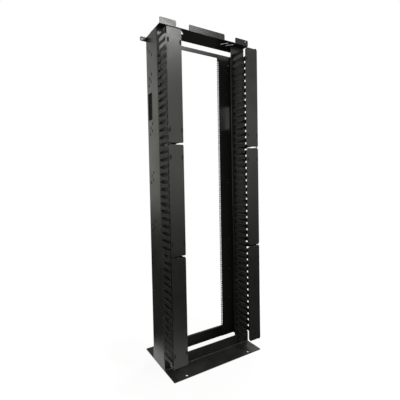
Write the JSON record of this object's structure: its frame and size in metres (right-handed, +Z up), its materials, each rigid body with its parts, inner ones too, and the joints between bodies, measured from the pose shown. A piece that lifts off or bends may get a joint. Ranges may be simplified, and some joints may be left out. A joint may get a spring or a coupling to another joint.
{
  "type": "two-post equipment rack with cable troughs",
  "caption": "Floor-standing two-post rack: a front cable trough on each side with finger combs and hinged covers, angle base and slotted top plate.",
  "frame": {"origin": "on the floor, under the middle of the bounding box", "axes": "+X to the right seen from the front, +Y to the back, +Z up"},
  "size_m": [0.7658, 0.4286, 2.1696],
  "materials": {
    "frame_steel": "black powder coat, semi-gloss, fine texture",
    "comb_steel": "black powder coat, semi-gloss, fine texture",
    "cover_steel": "black powder coat, semi-gloss, fine texture",
    "bracket_steel": "black powder coat, semi-gloss"
  },
  "bodies": {
    "frame": {"base_angle_front": "frame_steel", "base_angle_rear": "frame_steel", "top_plate": "frame_steel", "top_bar_rear": "frame_steel", "left_side_wall": "frame_steel", "left_rear_panel": "frame_steel", "left_front_panel": "frame_steel", "left_cover_brackets": "bracket_steel", "left_outer_comb_lower": "comb_steel", "left_inner_comb_lower": "comb_steel", "left_outer_comb_middle": "comb_steel", "left_inner_comb_middle": "comb_steel", "left_outer_comb_upper": "comb_steel", "left_inner_comb_upper": "comb_steel", "right_side_wall": "frame_steel", "right_rear_panel": "frame_steel", "right_front_panel": "frame_steel", "right_cover_brackets": "bracket_steel", "right_outer_comb_lower": "comb_steel", "right_inner_comb_lower": "comb_steel", "right_outer_comb_middle": "comb_steel", "right_inner_comb_middle": "comb_steel", "right_outer_comb_upper": "comb_steel", "right_inner_comb_upper": "comb_steel"},
    "left_cover_lower": {"left_cover_lower": "cover_steel"},
    "left_cover_middle": {"left_cover_middle": "cover_steel"},
    "left_cover_upper": {"left_cover_upper": "cover_steel"},
    "right_cover_lower": {"right_cover_lower": "cover_steel"},
    "right_cover_middle": {"right_cover_middle": "cover_steel"},
    "right_cover_upper": {"right_cover_upper": "cover_steel"}
  },
  "joints": [
    {"name": "left_cover_lower_hinge", "type": "hinge", "parent": "frame", "child": "left_cover_lower", "pos_m": [-0.3369, -0.2068, 0.41278], "axis": [0, 0, -1], "range_deg": [0, 110]},
    {"name": "left_cover_middle_hinge", "type": "hinge", "parent": "frame", "child": "left_cover_middle", "pos_m": [-0.3369, -0.2068, 1.07953], "axis": [0, 0, -1], "range_deg": [0, 110]},
    {"name": "left_cover_upper_hinge", "type": "hinge", "parent": "frame", "child": "left_cover_upper", "pos_m": [-0.3369, -0.2068, 1.74628], "axis": [0, 0, -1], "range_deg": [0, 110]},
    {"name": "right_cover_lower_hinge", "type": "hinge", "parent": "frame", "child": "right_cover_lower", "pos_m": [0.3369, -0.2068, 0.41278], "axis": [0, 0, 1], "range_deg": [0, 110]},
    {"name": "right_cover_middle_hinge", "type": "hinge", "parent": "frame", "child": "right_cover_middle", "pos_m": [0.3369, -0.2068, 1.07953], "axis": [0, 0, 1], "range_deg": [0, 110]},
    {"name": "right_cover_upper_hinge", "type": "hinge", "parent": "frame", "child": "right_cover_upper", "pos_m": [0.3369, -0.2068, 1.74628], "axis": [0, 0, 1], "range_deg": [0, 110]}
  ]
}
